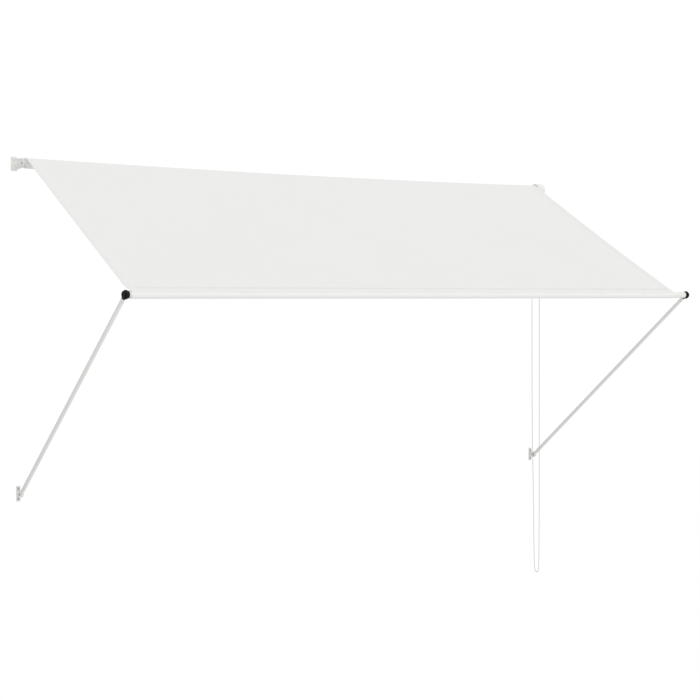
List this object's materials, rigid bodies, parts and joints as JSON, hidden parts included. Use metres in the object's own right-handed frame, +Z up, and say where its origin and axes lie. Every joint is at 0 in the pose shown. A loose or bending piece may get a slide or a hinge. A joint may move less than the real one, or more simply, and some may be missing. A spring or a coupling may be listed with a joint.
{
  "type": "canvas awning",
  "caption": "Drop-arm window awning: off-white cloth from a chain-driven roller to a front bar on two wall-hinged arms with black knuckles.",
  "frame": {"origin": "on the back face of the left roller bracket, on the wall plane and level with the roller's axis", "axes": "+X along the wall from the left bracket to the right one, +Y into the wall, +Z up"},
  "size_m": [2.625, 0.9437, 1.8126],
  "materials": {
    "roller_bracket_left": "cream-white powder coat, satin",
    "arm_bracket_left": "cream-white powder coat, satin",
    "roller_screw_upper_left": "cream-white paint over the head",
    "arm_bracket_screw_upper_left": "zinc-plated steel",
    "roller_screw_lower_left": "cream-white paint over the head",
    "arm_bracket_screw_lower_left": "zinc-plated steel",
    "pivot_bolt_left": "zinc-plated steel",
    "pivot_nut_left": "zinc-plated steel",
    "arm_tube_left": "cream-white powder coat, satin",
    "arm_foot_left": "cream-white powder coat, satin",
    "arm_knuckle_left": "black moulded plastic, fine grain",
    "arm_screw_foot_left": "cream-white paint over the head",
    "arm_screw_knuckle_left": "cream-white paint over the head",
    "bar_end_left": "black moulded plastic, fine grain",
    "knuckle_cap_left": "black moulded plastic, fine grain",
    "knuckle_screw_left": "blackened",
    "roller_bracket_right": "cream-white powder coat, satin",
    "arm_bracket_right": "cream-white powder coat, satin",
    "roller_screw_upper_right": "cream-white paint over the head",
    "arm_bracket_screw_upper_right": "zinc-plated steel",
    "roller_screw_lower_right": "cream-white paint over the head",
    "arm_bracket_screw_lower_right": "zinc-plated steel",
    "pivot_bolt_right": "zinc-plated steel",
    "pivot_nut_right": "zinc-plated steel",
    "arm_tube_right": "cream-white powder coat, satin",
    "arm_foot_right": "cream-white powder coat, satin",
    "arm_knuckle_right": "black moulded plastic, fine grain",
    "arm_screw_foot_right": "cream-white paint over the head",
    "arm_screw_knuckle_right": "cream-white paint over the head",
    "bar_end_right": "black moulded plastic, fine grain",
    "knuckle_cap_right": "black moulded plastic, fine grain",
    "knuckle_screw_right": "blackened",
    "roller_tube": "zinc-plated steel",
    "wound_cloth": "off-white woven awning cloth, matt",
    "idle_plug": "white moulded plastic",
    "idle_pin": "zinc-plated steel",
    "chain_wheel": "white moulded plastic",
    "clutch_housing": "white moulded plastic",
    "clutch_post": "zinc-plated steel",
    "clutch_post_nut": "zinc-plated steel",
    "brake_spring": "zinc-plated steel",
    "bead_chain": "white moulded plastic",
    "canopy_cloth": "off-white woven awning cloth, matt",
    "front_bar": "cream-white powder coat, satin",
    "cloth_pocket": "off-white woven awning cloth, matt"
  },
  "bodies": {
    "wall_mounts": {"roller_bracket_left": "roller_bracket_left", "arm_bracket_left": "arm_bracket_left", "roller_screw_upper_left": "roller_screw_upper_left", "arm_bracket_screw_upper_left": "arm_bracket_screw_upper_left", "roller_screw_lower_left": "roller_screw_lower_left", "arm_bracket_screw_lower_left": "arm_bracket_screw_lower_left", "pivot_bolt_left": "pivot_bolt_left", "pivot_nut_left": "pivot_nut_left", "roller_bracket_right": "roller_bracket_right", "arm_bracket_right": "arm_bracket_right", "roller_screw_upper_right": "roller_screw_upper_right", "arm_bracket_screw_upper_right": "arm_bracket_screw_upper_right", "roller_screw_lower_right": "roller_screw_lower_right", "arm_bracket_screw_lower_right": "arm_bracket_screw_lower_right", "pivot_bolt_right": "pivot_bolt_right", "pivot_nut_right": "pivot_nut_right", "clutch_housing": "clutch_housing", "clutch_post": "clutch_post", "clutch_post_nut": "clutch_post_nut", "brake_spring": "brake_spring", "bead_chain": "bead_chain", "canopy_cloth": "canopy_cloth"},
    "roller": {"roller_tube": "roller_tube", "wound_cloth": "wound_cloth", "idle_plug": "idle_plug", "idle_pin": "idle_pin", "chain_wheel": "chain_wheel"},
    "left_arm": {"arm_tube_left": "arm_tube_left", "arm_foot_left": "arm_foot_left", "arm_knuckle_left": "arm_knuckle_left", "arm_screw_foot_left": "arm_screw_foot_left", "arm_screw_knuckle_left": "arm_screw_knuckle_left"},
    "right_arm": {"arm_tube_right": "arm_tube_right", "arm_foot_right": "arm_foot_right", "arm_knuckle_right": "arm_knuckle_right", "arm_screw_foot_right": "arm_screw_foot_right", "arm_screw_knuckle_right": "arm_screw_knuckle_right"},
    "front_bar": {"front_bar": "front_bar", "cloth_pocket": "cloth_pocket", "bar_end_left": "bar_end_left", "knuckle_cap_left": "knuckle_cap_left", "knuckle_screw_left": "knuckle_screw_left", "bar_end_right": "bar_end_right", "knuckle_cap_right": "knuckle_cap_right", "knuckle_screw_right": "knuckle_screw_right"}
  },
  "joints": [
    {"name": "arm_swing", "type": "hinge", "parent": "wall_mounts", "child": "left_arm", "pos_m": [0.0115, -0.028, -1.2385], "axis": [-1, 0, 0], "range_deg": [0, 46.3], "deforming": ["canopy_cloth"]},
    {"name": "right_arm_swing", "type": "hinge", "parent": "wall_mounts", "child": "right_arm", "pos_m": [2.538, -0.028, -1.2385], "axis": [-1, 0, 0], "range_deg": [0, 46.3]},
    {"name": "bar_turn", "type": "hinge", "parent": "left_arm", "child": "front_bar", "pos_m": [0.0115, -0.9282, -0.49114], "axis": [1, 0, 0], "range_deg": [0, 73.1]},
    {"name": "roller_spin", "type": "hinge", "parent": "wall_mounts", "child": "roller", "pos_m": [0, -0.055, 0], "axis": [-1, 0, 0], "range_deg": [0, 2520]}
  ],
  "couplings": [
    {"joint": "right_arm_swing", "follows": "arm_swing", "ratio": 1},
    {"joint": "bar_turn", "follows": "arm_swing", "ratio": 1.577},
    {"joint": "roller_spin", "follows": "arm_swing", "ratio": 54.42}
  ]
}
